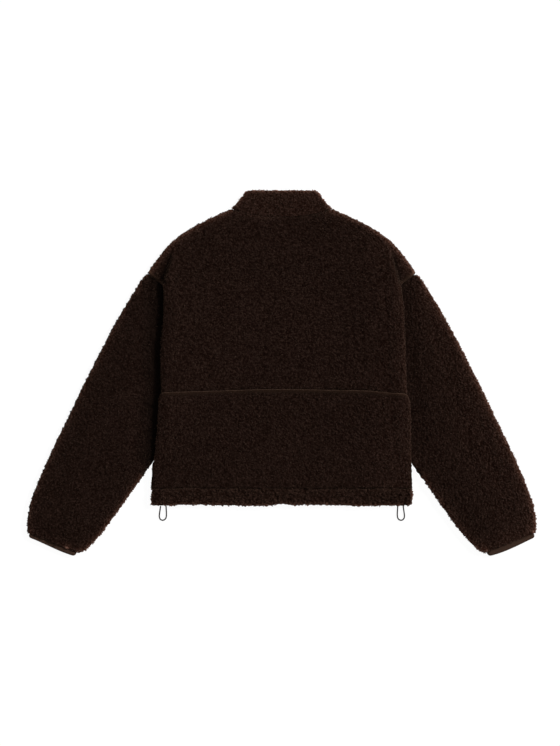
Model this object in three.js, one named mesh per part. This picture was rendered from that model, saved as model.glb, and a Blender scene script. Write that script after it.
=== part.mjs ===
// A sherpa fleece pullover laid out flat, back upwards, on the surface it rests on.
// Millimetres. +X is to the right as it is seen, +Y is towards the collar, +Z is up.
// Each piece that is cut and sewn on is one closed solid, 0.3 mm from its neighbours.
import * as THREE from "three";

// Driving sizes
const wall = 5.5;            // body cloth with its pile
const sleeveWall = 4.8;      // sleeve cloth, pressed a little
const sleeveSlit = 1.0;      // air between the two sides of a flat sleeve
const seamGap = 0.3;
const backBase = wall + seamGap;
const sleeveTop = 2 * sleeveWall + sleeveSlit;
const overSleeve = sleeveTop + seamGap;
const bodyHeight = 14.4;     // top of the back in the middle
const collarTop = 357;
const collarWall = 5.2;
const collarHalfTop = 72.5;
const neckHalf = 98.5;       // half width at the neck points
const neckPointY = 320.5;
const backNeckY = 304;
const frontNeckY = 279;
const hemSeamY = -225;
const hemBottomY = -257.5;
const hemHalf = 255.6;
const hemWall = 6.4;
const cuffWidth = 97;
const bindingDepth = 7.7;
const bindingWall = 3.6;
const cordRadius = 1.3;

// Shoulder line from the neck point to the armhole notch
const shoulderEdge = [
  { y: neckPointY, x: neckHalf }, { y: 313.5, x: 115 }, { y: 306, x: 131.5 }, { y: 290.5, x: 163.5 },
  { y: 275, x: 189.5 }, { y: 259.5, x: 211 },
  { y: 243.5, x: 226 }, { y: 228, x: 239 }, { y: 212, x: 250.5 }, { y: 198, x: 260 }, { y: 194.5, x: 261.5 },
];
// Outer edge of a sleeve from the notch to the cuff
const sleeveOuter = [
  { y: 193.5, x: 262 }, { y: 187, x: 270 }, { y: 170, x: 281.5 }, { y: 146, x: 296.5 }, { y: 100, x: 323.5 }, { y: 53, x: 348.5 },
  { y: 6, x: 372.5 }, { y: -41, x: 396 }, { y: -88, x: 418 }, { y: -134, x: 441 }, { y: -181, x: 462 },
  { y: -228, x: 482 }, { y: -252, x: 490 }, { y: -275, x: 495.5 }, { y: -298, x: 497.5 }, { y: -311, x: 496.4 },
];
// Inner edge of a sleeve from the underarm, under the back, to the cuff
const sleeveInner = [
  { y: -64.5, x: 179 }, { y: -120, x: 216 }, { y: -177, x: 253.5 }, { y: -205, x: 273 }, { y: -228, x: 289.5 },
  { y: -252, x: 306 }, { y: -275, x: 322.5 }, { y: -298, x: 339.5 }, { y: -322, x: 358.5 }, { y: -338, x: 374.5 },
  { y: -348, x: 386.5 }, { y: -352, x: 396 },
];
// The fold at each side of the body, where the back lies over the sleeve
const bodyFold = [
  { y: 262, x: 203 }, { y: 246, x: 212 }, { y: 230, x: 216.5 }, { y: 203, x: 224.5 }, { y: 181, x: 230.5 },
  { y: 160, x: 234.5 }, { y: 132, x: 238 }, { y: 74, x: 240.5 }, { y: 25, x: 242.5 }, { y: -34, x: 244.5 },
];
// Sides of the lower back, which stands out a little further than the upper back
const lowerSide = [
  { y: -33, x: 242 }, { y: -38, x: 246 }, { y: -46, x: 249 }, { y: -82, x: 251 }, { y: -175, x: 253 },
  { y: hemSeamY, x: 255 },
];
// The left fold lies further in than the right one
const leftInset = [
  { y: 169, in: 0 }, { y: 160, in: 3.6 }, { y: 140, in: 6.8 }, { y: 120, in: 8.2 }, { y: 60, in: 6 }, { y: 0, in: 7 },
  { y: -40, in: 9.4 }, { y: -70, in: 10 }, { y: -110, in: 9 }, { y: -160, in: 5 }, { y: -190, in: 1 },
  { y: hemSeamY, in: 0 },
];
// Where the front is sewn to a sleeve, under the back, then the side of the front
const armhole = [{ x: 261.5, y: 194 }, { x: 235, y: 174 }, { x: 231.5, y: 168 }, { x: 178.5, y: -64 }];
const frontSide = [
  { y: -64, x: 178.5 }, { y: -120, x: 214.2 },
  { y: -150, x: 233.6 }, { y: -177, x: 252.4 }, { y: -187, x: 253.4 }, { y: hemSeamY, x: 255 },
];
// The lapped seam across the back, lower at the sides
const crossSeam = [
  { x: -250, y: -38.5 }, { x: -215, y: -37 }, { x: -120, y: -34 }, { x: -40, y: -31.5 }, { x: 40, y: -31.5 },
  { x: 120, y: -33 }, { x: 168, y: -34 }, { x: 199, y: -37 }, { x: 250, y: -40.5 },
];
// How far the sides of the back are lifted by what lies under them
const sideLift = [
  { y: 300, lift: -1.4 }, { y: 262, lift: -1 }, { y: 240, lift: 2 }, { y: 200, lift: 7.8 }, { y: 150, lift: 10 },
  { y: 0, lift: 10.6 }, { y: -100, lift: 9.4 }, { y: -150, lift: 6 }, { y: -190, lift: 0.6 }, { y: hemSeamY, lift: -1.4 },
];
// Soft hollows in the cloth, in the places where the photo shows them
const sleeveHollows = {
  right: [
    { x: 352, y: -70, long: 70, wide: 24, turn: -64, depth: 2.6 },
    { x: 372, y: -165, long: 62, wide: 20, turn: -48, depth: 2.8 },
    { x: 322, y: 62, long: 52, wide: 20, turn: -70, depth: 1.6 },
    { x: 432, y: -250, long: 46, wide: 18, turn: -58, depth: 2.2 },
  ],
  left: [
    { x: 318, y: 30, long: 64, wide: 22, turn: -62, depth: 2.4 },
    { x: 410, y: -130, long: 66, wide: 22, turn: -66, depth: 2.6 },
    { x: 352, y: -190, long: 50, wide: 18, turn: -40, depth: 2.4 },
    { x: 430, y: -262, long: 40, wide: 18, turn: -60, depth: 1.8 },
  ],
};

// Small helpers
const lerp = (a, b, t) => a + (b - a) * t;
const clamp01 = (t) => Math.min(1, Math.max(0, t));
const ease = (t) => { const c = clamp01(t); return c * c * (3 - 2 * c); };

// Reads one column of a table at a place along another, as a smooth curve
function along(table, at, where, what) {
  const rising = table[table.length - 1][at] > table[0][at];
  const rows = rising ? table : [...table].reverse();
  const last = rows.length - 1;
  if (where <= rows[0][at]) return rows[0][what];
  if (where >= rows[last][at]) return rows[last][what];
  let i = 0;
  while (where > rows[i + 1][at]) i += 1;
  const slope = (a, b) => (rows[b][what] - rows[a][what]) / (rows[b][at] - rows[a][at]);
  const here = slope(i, i + 1);
  const start = i > 0 ? (slope(i - 1, i) + here) / 2 : here;
  const end = i < last - 1 ? (slope(i + 1, i + 2) + here) / 2 : here;
  const span = rows[i + 1][at] - rows[i][at];
  const t = (where - rows[i][at]) / span;
  const rise = rows[i + 1][what] - rows[i][what];
  return rows[i][what] + t * (span * start) + t * t * (3 * rise - span * (2 * start + end))
    + t * t * t * (span * (start + end) - 2 * rise);
}

// Points at even steps along a table's curve
function pathPoints(table, count) {
  const fine = [];
  for (let i = 0; i <= 400; i += 1) {
    const y = lerp(table[0].y, table[table.length - 1].y, i / 400);
    fine.push([along(table, "y", y, "x"), y]);
  }
  const lengths = [0];
  for (let i = 1; i < fine.length; i += 1) {
    lengths.push(lengths[i - 1] + Math.hypot(fine[i][0] - fine[i - 1][0], fine[i][1] - fine[i - 1][1]));
  }
  return (s) => {
    const want = s * lengths[lengths.length - 1];
    let i = 1;
    while (i < lengths.length - 1 && lengths[i] < want) i += 1;
    const t = (want - lengths[i - 1]) / (lengths[i] - lengths[i - 1]);
    return [lerp(fine[i - 1][0], fine[i][0], t), lerp(fine[i - 1][1], fine[i][1], t)];
  };
}

// Cloth is never quite even: a few long, shallow waves
function waves(x, y) {
  return 0.75 * Math.sin(x / 43 + 0.6) * Math.sin(y / 57 + 1.1) + 0.5 * Math.sin(x / 31 - y / 71 + 2.0)
    + 0.4 * Math.sin(x / 83 + y / 37);
}

function hollow(list, x, y) {
  let sum = 0;
  for (const dent of list) {
    const turn = THREE.MathUtils.degToRad(dent.turn);
    const dx = x - dent.x;
    const dy = y - dent.y;
    const a = (dx * Math.cos(turn) + dy * Math.sin(turn)) / dent.long;
    const b = (-dx * Math.sin(turn) + dy * Math.cos(turn)) / dent.wide;
    sum += dent.depth * Math.exp(-(a * a + b * b) * 1.4);
  }
  return sum;
}

// A closed solid from rows of points: the top of the cloth and its underside
function sheetSolid(rows) {
  const across = rows[0].top.length;
  const points = [];
  for (const row of rows) points.push(...row.top, ...row.under);
  const top = (j, i) => j * across * 2 + i;
  const under = (j, i) => j * across * 2 + across + i;
  const quads = [];
  for (let j = 0; j < rows.length - 1; j += 1) {
    for (let i = 0; i < across - 1; i += 1) {
      quads.push([top(j, i), top(j + 1, i), top(j + 1, i + 1), top(j, i + 1)]);
      quads.push([under(j, i), under(j, i + 1), under(j + 1, i + 1), under(j + 1, i)]);
    }
    quads.push([top(j, 0), under(j, 0), under(j + 1, 0), top(j + 1, 0)]);
    quads.push([top(j, across - 1), top(j + 1, across - 1), under(j + 1, across - 1), under(j, across - 1)]);
  }
  const end = rows.length - 1;
  for (let i = 0; i < across - 1; i += 1) {
    quads.push([top(0, i), top(0, i + 1), under(0, i + 1), under(0, i)]);
    quads.push([top(end, i), under(end, i), under(end, i + 1), top(end, i + 1)]);
  }
  return solid(points, quads);
}

// A closed solid from rings of points: the outside and the inside of a flat tube
function tubeSolid(rings, flip) {
  const around = rings[0].outer.length;
  const points = [];
  for (const ring of rings) points.push(...ring.outer, ...ring.inner);
  const outer = (j, i) => j * around * 2 + (i % around);
  const inner = (j, i) => j * around * 2 + around + (i % around);
  const quads = [];
  for (let i = 0; i < around; i += 1) {
    for (let j = 0; j < rings.length - 1; j += 1) {
      quads.push([outer(j, i), outer(j, i + 1), outer(j + 1, i + 1), outer(j + 1, i)]);
      quads.push([inner(j, i), inner(j + 1, i), inner(j + 1, i + 1), inner(j, i + 1)]);
    }
    const end = rings.length - 1;
    quads.push([outer(0, i), inner(0, i), inner(0, i + 1), outer(0, i + 1)]);
    quads.push([outer(end, i), outer(end, i + 1), inner(end, i + 1), inner(end, i)]);
  }
  return solid(points, flip ? quads.map((quad) => [...quad].reverse()) : quads);
}

function solid(points, quads) {
  const geometry = new THREE.BufferGeometry();
  const index = [];
  for (const [a, b, c, d] of quads) index.push(a, b, c, a, c, d);
  geometry.setAttribute("position", new THREE.Float32BufferAttribute(points.flat(), 3));
  geometry.setIndex(index);
  geometry.computeVertexNormals();
  return geometry;
}

// The sleeve's outline on the ground, for lifting the back over it
const outerEdge = pathPoints(sleeveOuter);
const innerEdge = pathPoints(sleeveInner);
// A place along the armhole, at a share of its length
const armholeLengths = armhole.map(({ x, y }, i) => (i ? Math.hypot(x - armhole[i - 1].x, y - armhole[i - 1].y) : 0));
const armholeLength = armholeLengths.reduce((sum, length) => sum + length, 0);
function armholePoint(t) {
  let left = clamp01(t) * armholeLength;
  let i = 1;
  while (i < armhole.length - 1 && left > armholeLengths[i]) { left -= armholeLengths[i]; i += 1; }
  const share = left / armholeLengths[i];
  return [lerp(armhole[i - 1].x, armhole[i].x, share), lerp(armhole[i - 1].y, armhole[i].y, share)];
}

// A place on a sleeve: along it, and across it from its outer edge. It starts from the armhole.
function sleevePoint(s, t) {
  const a = outerEdge(s);
  const b = innerEdge(s);
  const [hx, hy] = armholePoint(t);
  const near = 1 - ease(s / 0.16);
  const offX = (hx + 0.45 - lerp(outerEdge(0)[0], innerEdge(0)[0], t)) * near;
  const offY = (hy - 0.45 - lerp(outerEdge(0)[1], innerEdge(0)[1], t)) * near;
  return [lerp(a[0], b[0], t) + offX, lerp(a[1], b[1], t) + offY];
}

const footprint = [];
for (let i = 0; i <= 16; i += 1) footprint.push(sleevePoint(0, i / 16));
for (let i = 1; i <= 24; i += 1) footprint.push(innerEdge(i / 24));
for (let i = 24; i >= 1; i -= 1) footprint.push(outerEdge(i / 24));

// How far a place is outside the sleeve's outline
function outsideSleeve(x, y) {
  let inside = false;
  let near = Infinity;
  for (let i = 0; i < footprint.length; i += 1) {
    const [ax, ay] = footprint[i];
    const [bx, by] = footprint[(i + 1) % footprint.length];
    if ((ay > y) !== (by > y) && x < ((bx - ax) * (y - ay)) / (by - ay) + ax) inside = !inside;
    const length2 = (bx - ax) ** 2 + (by - ay) ** 2;
    const t = clamp01(((x - ax) * (bx - ax) + (y - ay) * (by - ay)) / length2);
    near = Math.min(near, Math.hypot(x - lerp(ax, bx, t), y - lerp(ay, by, t)));
  }
  return inside ? 0 : near;
}

// What the back lies on: the front, or the sleeve
function restHeight(x, y) {
  return lerp(overSleeve, backBase, ease((outsideSleeve(Math.abs(x), y) - 3) / 20));
}

function foldX(y) {
  return y > -34 ? along(bodyFold, "y", y, "x") : along(lowerSide, "y", y, "x");
}

// Top of the back's cloth
function backHeight(x, y) {
  const side = Math.min(1, Math.abs(x) / foldX(y));
  return bodyHeight + along(sideLift, "y", y, "lift") * side ** 3.2 + waves(x, y) * (1 - 0.6 * side ** 4);
}

// One row across the back. The band along each edge is either a plain fold over what lies
// below, or, above the armhole seam, a fold with the drop shoulder running out from under it.
const innerSteps = 7;
const foldHeight = 12.6;     // the fold's own height, scaled where the cloth lies lower
const foldTop = [
  { in: 34, drop: 0 }, { in: 21, drop: 0 }, { in: 12, drop: 0.3 }, { in: 7, drop: 1.3 }, { in: 3.9, drop: 3.1 },
  { in: 1.8, drop: 5.6 }, { in: 0.6, drop: 8.4 }, { in: 0.1, drop: 10.8 }, { in: 0, drop: foldHeight },
];
function backRow(edgeY, middleY, fullHalf, slope, shoulder, step, endDrop) {
  const side = (sign) => {
    const half = fullHalf - (sign < 0 ? along(leftInset, "y", edgeY, "in") : 0);
    const points = { top: [], under: [] };
    const lean = Math.sqrt(1 + slope * slope);
    const fold = Math.min(foldX(edgeY), half - 9 * lean);
    const height = (x) => backHeight(sign * x, edgeY) - endDrop;
    const rest = restHeight(half, edgeY);
    const outer = Math.min(11.8, height(half));
    const edge = height(half - 14);
    const middle = (edge + rest) / 2;
    const drop = (k) => foldTop[k].drop * ((edge - middle - 0.7) / foldHeight);
    const start = lerp(half - foldTop[0].in, fold - 18, shoulder);
    const startUnder = lerp(half - 44, fold - 26, shoulder);
    for (let i = 1; i <= innerSteps; i += 1) {
      const x = (start * i) / (innerSteps + 1);
      const low = (startUnder * i) / (innerSteps + 1);
      points.top.push([x, height(x)]);
      points.under.push([low, Math.max(restHeight(low, edgeY), height(low) - wall)]);
    }
    const dropTo = (k) => lerp(edge, lerp(edge, outer, k), step);
    const shoulderTop = [
      [fold - 18, height(fold - 18)], [fold - 10, dropTo(0.04)], [fold - 5, dropTo(0.2)], [fold - 2, dropTo(0.55)],
      [fold - 0.4, dropTo(0.9)], [fold + 0.9, dropTo(1)], [half - 4.6 * lean, dropTo(1) - 0.4],
      [half - 1.5 * lean, dropTo(1) - 2], [half, lerp(dropTo(1), backBase, 0.55)],
    ];
    const liftUnder = (k) => lerp(backBase, Math.max(backBase, edge - wall), k * step);
    const shoulderUnder = [
      [fold - 26, Math.max(restHeight(fold - 26, edgeY), height(fold - 26) - wall)], [fold - 18, liftUnder(0.95)],
      [fold - 12, liftUnder(0.7)], [fold - 9, liftUnder(0.3)], [fold - 6.5, backBase + 0.1], [fold - 3, backBase],
      [half - 4.6 * lean, backBase], [half - 1.5 * lean, backBase + 0.1],
      [half, lerp(dropTo(1), backBase, 0.8)],
    ];
    const foldUnder = [
      [half - 44, Math.max(restHeight(half - 44, edgeY), height(half - 44) - wall)],
      [half - 31, lerp(rest, edge - wall, 0.12)], [half - 20, rest], [half - 11, rest],
      [half - 6, lerp(rest, middle, 0.06)], [half - 3, lerp(rest, middle, 0.22)], [half - 1.2, lerp(rest, middle, 0.45)],
      [half - 0.4, lerp(rest, middle, 0.68)], [half, lerp(rest, middle, 0.86)],
    ];
    foldTop.forEach((place, k) => {
      const foldPoint = [half - place.in, k === 0 ? height(half - place.in) : edge - drop(k)];
      points.top.push(foldPoint.map((value, axis) => lerp(value, shoulderTop[k][axis], shoulder)));
      points.under.push(foldUnder[k].map((value, axis) => lerp(value, shoulderUnder[k][axis], shoulder)));
    });
    return points;
  };
  const left = side(-1);
  const right = side(1);
  const bend = (x) => lerp(middleY, edgeY, Math.abs(x / fullHalf) ** 2.6);
  const middleTop = backHeight(0, middleY) - endDrop;
  const middleUnder = Math.max(backBase, backHeight(0, middleY) - wall);
  const full = (name, middle) => [
    ...left[name].map(([x, z]) => [-x, bend(x), z]).reverse(), [0, middleY, middle],
    ...right[name].map(([x, z]) => [x, bend(x), z]),
  ];
  return { top: full("top", middleTop), under: full("under", middleUnder) };
}

// Bends a row so that its ends and middle follow the seam across the back
function toSeam(row, share, offset) {
  const shift = ([x, y, z]) => [x, lerp(y, along(crossSeam, "x", x, "y") + offset, share), z];
  return { top: row.top.map(shift), under: row.under.map(shift) };
}

// Upper back, from the neckline and shoulders to the seam across
function upperBack() {
  const rows = [];
  const places = [
    { edge: neckPointY, middle: backNeckY, drop: 1.6 }, { edge: 318.5, middle: 302.6, drop: 0.5 },
    { edge: 314.5, middle: 299.5, drop: 0 }, { edge: 306, middle: 293 }, { edge: 297, middle: 286 },
    { edge: 286, middle: 277 }, { edge: 274, middle: 267 }, { edge: 262, middle: 257 }, { edge: 250, middle: 247 },
    { edge: 238, middle: 236 }, { edge: 226, middle: 225 }, { edge: 214, middle: 213.5 }, { edge: 203, middle: 203 },
    { edge: 196, middle: 196 },
    { edge: 191, middle: 191 }, { edge: 186, middle: 186 }, { edge: 180.5, middle: 180.5 },
    { edge: 175, middle: 175 }, { edge: 170, middle: 170 }, { edge: 162, middle: 162 }, { edge: 146, middle: 146 },
    { edge: 124, middle: 124 }, { edge: 98, middle: 98 }, { edge: 70, middle: 70 }, { edge: 42, middle: 42 },
    { edge: 16, middle: 16 }, { edge: -8, middle: -8 }, { edge: -22, middle: -22, seam: 0.6 },
    { edge: -30, middle: -30, seam: 1, offset: 3.6 }, { edge: -32, middle: -32, seam: 1, offset: 1.5, drop: 0.6 },
    { edge: -33.5, middle: -33.5, seam: 1, offset: 0.15, drop: 2.4 },
  ];
  // The notch, the armhole seam and then the fold
  const armholeSeam = [{ y: 196, x: 260.6 }, { y: 191, x: 257.2 }, { y: 186, x: 250.6 }, { y: 180.5, x: 243.3 },
    { y: 175, x: 236.1 }, { y: 170, x: 232.6 }];
  for (const place of places) {
    const y = place.edge;
    let half = foldX(y);
    if (y >= 198) half = along(shoulderEdge, "y", y, "x");
    else if (y > 169) half = along(armholeSeam, "y", y, "x");
    const slope = y > 198 ? (along(shoulderEdge, "y", y - 3, "x") - along(shoulderEdge, "y", y + 3, "x")) / 6 : 0.6;
    const shoulder = ease((y - 170) / 11);
    const step = 1 - ease((y - 214) / 44);
    let row = backRow(y, place.middle, half, Math.abs(slope), shoulder, step, place.drop ?? 0);
    if (place.seam) row = toSeam(row, place.seam, place.offset ?? 10);
    rows.push(row);
  }
  return sheetSolid(rows);
}

// Lower back, with the smooth rolled edge of the lapped seam along its top
function lowerBack() {
  const rows = [];
  const places = [
    { y: -33.6, offset: -0.15, drop: 1.2, seam: 1 }, { y: -34.6, offset: -1.0, drop: -1.3, seam: 1 },
    { y: -36.6, offset: -2.8, drop: -2.1, seam: 1 }, { y: -39, offset: -5.2, drop: -1.2, seam: 1 },
    { y: -42.5, offset: -8.4, drop: 0.4, seam: 1 }, { y: -48, offset: -14, drop: 0, seam: 1 },
    { y: -60, offset: -27, drop: 0, seam: 0.7 }, { y: -80, offset: -46, drop: 0, seam: 0.3 }, { y: -104 }, { y: -128 },
    { y: -150 }, { y: -168 }, { y: -182 }, { y: -196 }, { y: -209 }, { y: -218.5 }, { y: -223, drop: 0.8 },
    { y: hemSeamY, drop: 2.6 },
  ];
  for (const place of places) {
    const half = along(lowerSide, "y", place.y, "x");
    let row = backRow(place.y, place.y, half, 0, 0, 0, place.drop ?? 0);
    if (place.seam) row = toSeam(row, place.seam, place.offset);
    rows.push(row);
  }
  return sheetSolid(rows);
}

function armholeX(y) {
  let i = 1;
  while (i < armhole.length - 1 && y < armhole[i].y) i += 1;
  return lerp(armhole[i - 1].x, armhole[i].x, (y - armhole[i - 1].y) / (armhole[i].y - armhole[i - 1].y));
}

// Front, flat on the surface under everything else, with its neckline lower than the back's
function frontPanel() {
  const rows = [];
  const places = [
    { edge: neckPointY, middle: frontNeckY }, { edge: 314, middle: 276 }, { edge: 304, middle: 270 }, { edge: 290, middle: 261 },
    { edge: 272, middle: 249 }, { edge: 252, middle: 235 }, { edge: 230, middle: 218 }, { edge: 208, middle: 201 },
    { edge: 194, middle: 190 }, { edge: 184, middle: 181 }, { edge: 174, middle: 172 }, { edge: 168, middle: 167 },
    { edge: 138, middle: 138 }, { edge: 105, middle: 105 }, { edge: 65, middle: 65 }, { edge: 20, middle: 20 },
    { edge: -30, middle: -30 }, { edge: -64, middle: -64 }, { edge: -92, middle: -92 },
    { edge: -120, middle: -120 }, { edge: -150, middle: -150 }, { edge: -177, middle: -177 }, { edge: -190, middle: -190 },
    { edge: -212, middle: -212 }, { edge: hemSeamY, middle: hemSeamY },
  ];
  for (const place of places) {
    const y = place.edge;
    let half = along(frontSide, "y", y, "x");
    if (y > 194) half = along(shoulderEdge, "y", y, "x");
    else if (y > -64) half = armholeX(y);
    const open = y > 194 || y < -182 ? 1 : 0.35;   // rounder along the edges that can be seen
    const top = [];
    const under = [];
    for (let i = 1; i <= 6; i += 1) {
      top.push([((half - 12) * i) / 7, wall]);
      under.push([((half - 12) * i) / 7, 0]);
    }
    top.push([half - 12, wall], [half - 5, wall], [half - 1.6, wall - 0.25], [half, wall - 0.9]);
    under.push([half - 12, 0], [half - 5, 0.2 * open], [half - 1.6, 1.4 * open], [half, 3.4 * open + 0.4]);
    const bend = (x) => lerp(place.middle, y, Math.abs(x / half) ** 2.1);
    const full = (list, z) => [
      ...list.map(([x, h]) => [-x, bend(x), h]).reverse(), [0, place.middle, z], ...list.map(([x, h]) => [x, bend(x), h]),
    ];
    rows.push({ top: full(top, wall), under: full(under, 0) });
  }
  return sheetSolid(rows);
}

// Cross section of a flat tube: how far in from its edge, and how round it is there
const tubeEdge = [
  { out: 0, inn: 0, round: 0 }, { out: 0.1, inn: 0.03, round: 0.5 }, { out: 0.45, inn: 0.16, round: 0.84 },
  { out: 1.1, inn: 0.6, round: 1 }, { out: 2.4, inn: 1.9, round: 1 },
];
const tubeMiddle = [0.08, 0.22, 0.38, 0.54, 0.7, 0.86];
const collarMiddle = [0.08, 0.18, 0.28, 0.39, 0.5, 0.61, 0.72, 0.82, 0.92];
const endDip = 1.5;          // the sleeve's end is pressed down by its seam

// One ring of a flat tube. place gives x and y at a share of the way across, on the upper or
// lower side; heightAt gives its top.
function flatRing(width, cloth, place, heightAt, low = 0, middles = tubeMiddle) {
  const outer = [];
  const inner = [];
  const radius = heightAt(0.5) / 2;
  const shares = [];
  const push = (out, inn, round) => shares.push({ out, inn, round });
  tubeEdge.forEach((row) => push((row.out * radius) / width, (cloth + row.inn * radius) / width, row.round));
  const edgeShare = (tubeEdge[tubeEdge.length - 1].out * radius) / width;
  middles.forEach((m) => push(lerp(edgeShare, 1 - edgeShare, m), lerp(edgeShare, 1 - edgeShare, m), 1));
  [...tubeEdge].reverse().forEach((row) => push(
    1 - (row.out * radius) / width, 1 - (cloth + row.inn * radius) / width, row.round,
  ));
  const last = shares.length - 1;
  const add = (row, up) => {
    const full = heightAt(row.out);
    const middle = full / 2;
    const slit = Math.max(0.25, middle - cloth);
    const [x, y] = place(row.out, up, row.round);
    const [ix, iy] = place(row.inn, up, row.round);
    const sign = up ? 1 : -1;
    outer.push([x, y, low + middle + sign * middle * row.round]);
    inner.push([ix, iy, low + middle + sign * slit * row.round]);
  };
  for (let i = 0; i <= last; i += 1) add(shares[i], true);
  for (let i = last - 1; i >= 1; i -= 1) add(shares[i], false);
  return { outer, inner };
}

// A sleeve: a flat tube from the armhole, under the side of the back, to the cuff
function sleeve(sign) {
  const rings = [];
  const stations = [
    0, 0.005, 0.025, 0.06, 0.11, 0.17, 0.25, 0.33, 0.41, 0.49, 0.57, 0.65, 0.73, 0.8, 0.87, 0.925, 0.965, 0.992, 1,
  ];
  const hollows = sign > 0 ? sleeveHollows.right : sleeveHollows.left;
  // Two columns start at the armhole's bends, so that the sleeve's end follows it closely
  const startWidth = Math.hypot(outerEdge(0)[0] - innerEdge(0)[0], outerEdge(0)[1] - innerEdge(0)[1]);
  const startEdge = (tubeEdge[tubeEdge.length - 1].out * (sleeveTop - endDip)) / 2 / startWidth;
  const bends = [armholeLengths[1], armholeLengths[1] + armholeLengths[2]].map(
    (length) => (length / armholeLength - startEdge) / (1 - 2 * startEdge),
  );
  const middles = [...bends, 0.27, 0.45, 0.63, 0.82];
  for (const s of stations) {
    const [ax, ay] = outerEdge(s);
    const [bx, by] = innerEdge(s);
    const width = Math.hypot(ax - bx, ay - by);
    const endRound = Math.max(endDip * (1 - ease(s / 0.02)), ease((s - 0.98) / 0.02));
    const place = (t) => {
      const [x, y] = sleevePoint(s, t);
      return [sign * x, y];
    };
    const height = (t) => {
      const [x, y] = sleevePoint(s, t);
      const clear = y > 178 ? ease((200 - y) / 30) : ease((x - foldX(y) - 3) / 34);
      const puff = 4.4 * Math.sin(Math.PI * clamp01(t)) ** 0.6 * (1 - 0.35 * ease((s - 0.85) / 0.15));
      const gather = ease((s - 0.9) / 0.1) * 0.7 * Math.sin(t * 34 + sign);
      return sleeveTop + clear * (puff - hollow(hollows, x, y) + 0.5 * waves(x * sign, y) + gather) - endRound;
    };
    rings.push(flatRing(width, sleeveWall, place, height, 0, middles));
  }
  return tubeSolid(rings, sign < 0);
}

// The smooth binding round a cuff, a little narrower than the sleeve above it
function cuffBinding(sign) {
  const [ax, ay] = outerEdge(1);
  const [bx, by] = innerEdge(1);
  const width = Math.hypot(ax - bx, ay - by);
  const across = [(bx - ax) / width, (by - ay) / width];
  const down = [-across[1], across[0]];
  const inset = (width - cuffWidth) / 2;
  const rings = [];
  for (const [depth, thin, tuck] of [[0, 0.9, 0.8], [1.2, 0.2, 0.1], [3.4, 0, 0], [6.2, 0.3, 0.2], [bindingDepth, 1.1, 1]]) {
    const place = (t) => {
      const a = inset + tuck + t * (cuffWidth - 2 * tuck);
      const d = seamGap + 0.15 + depth;
      return [sign * (ax + across[0] * a + down[0] * d), ay + across[1] * a + down[1] * d];
    };
    rings.push(flatRing(cuffWidth - 2 * tuck, bindingWall - thin, place, () => 8.4 - 2 * thin, thin));
  }
  return tubeSolid(rings, sign < 0);
}

// The stand collar: one band round the neck, pressed flat
function collar() {
  const rings = [];
  const baseBack = (x) => lerp(backNeckY, neckPointY + 0.9, (Math.abs(x) / neckHalf) ** 2.6) + seamGap;
  const baseFront = (x) => lerp(frontNeckY, neckPointY + 0.9, (Math.abs(x) / neckHalf) ** 2.1) + seamGap;
  const corner = (x, half) => 4 * clamp01((Math.abs(x) - half + 10) / 10) ** 2.4;
  for (const [s, thin] of [[0, 1.0], [0.03, 0.25], [0.12, 0], [0.35, 0], [0.6, 0], [0.84, 0], [0.95, 0.6], [1, 1.9]]) {
    const half = lerp(neckHalf, collarHalfTop, s) - thin * 0.5;
    const place = (t, up, round) => {
      const x = lerp(-half, half, t);
      const back = lerp(baseBack(x), collarTop - corner(x, half), s);
      const front = lerp(baseFront(x), collarTop - 12 - corner(x, half) * 0.2, s);
      const wrap = up ? 1 : 1 - round;
      return [x, lerp(front, back, wrap)];
    };
    const height = (t) => lerp(13.6, 12.6, s) + 0.5 * Math.sin(t * 9 + 1) - 1.2 * Math.abs(t - 0.5) * 2;
    rings.push(flatRing(half * 2, collarWall - thin, place, (t) => height(t) - 2 * thin, thin, collarMiddle));
  }
  return tubeSolid(rings, false);
}

// The hem channel: a doubled band round the bottom with the draw cord inside it
function hemChannel() {
  const rings = [];
  for (const [s, thin] of [[0, 1.6], [0.05, 0.5], [0.2, 0.1], [0.5, 0], [0.78, 0.1], [0.94, 0.9], [1, 2.4]]) {
    const half = hemHalf - 0.8 * s ** 5 - thin * 0.4;
    const place = (t) => {
      const x = lerp(-half, half, t);
      const bottom = hemBottomY + 1.0 * Math.sin(x / 37) + 3.2 * Math.exp(-(((x + 4) / 12) ** 2)) - 1.2
        + 2.6 * clamp01((Math.abs(x) - 246) / 9) ** 2;
      return [x, lerp(hemSeamY - seamGap - 0.15, bottom, s)];
    };
    const height = (t) => {
      const x = lerp(-half, half, t);
      return 13.6 + 0.9 * Math.sin(Math.PI * s) + 0.5 * Math.sin(x / 13) * Math.sin(Math.PI * Math.min(1, s * 1.3));
    };
    rings.push(hemRing(half * 2, place, height, thin));
  }
  return tubeSolid(rings, true);
}

function hemRing(width, place, heightAt, thin) {
  const outer = [];
  const inner = [];
  const radius = 6.9;
  const shares = [];
  tubeEdge.forEach((row) => shares.push({
    out: (row.out * radius) / width, inn: (hemWall - thin + row.inn * radius) / width, round: row.round,
  }));
  for (let i = 1; i <= 17; i += 1) shares.push({ out: lerp(0.1, 0.9, i / 18), inn: lerp(0.1, 0.9, i / 18), round: 1 });
  [...tubeEdge].reverse().forEach((row) => shares.push({
    out: 1 - (row.out * radius) / width, inn: 1 - (hemWall - thin + row.inn * radius) / width, round: row.round,
  }));
  const add = (row, up) => {
    const middle = heightAt(row.out) / 2;
    const sign = up ? 1 : -1;
    const half = up ? middle - thin : 6.8 - thin;
    outer.push([...place(row.out), 6.8 + sign * (half + (up ? middle - 6.8 : 0)) * row.round]);
    inner.push([...place(row.inn), 6.8 + sign * 0.5 * row.round]);
  };
  for (let i = 0; i < shares.length; i += 1) add(shares[i], true);
  for (let i = shares.length - 2; i >= 1; i -= 1) add(shares[i], false);
  return { outer, inner };
}

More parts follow.
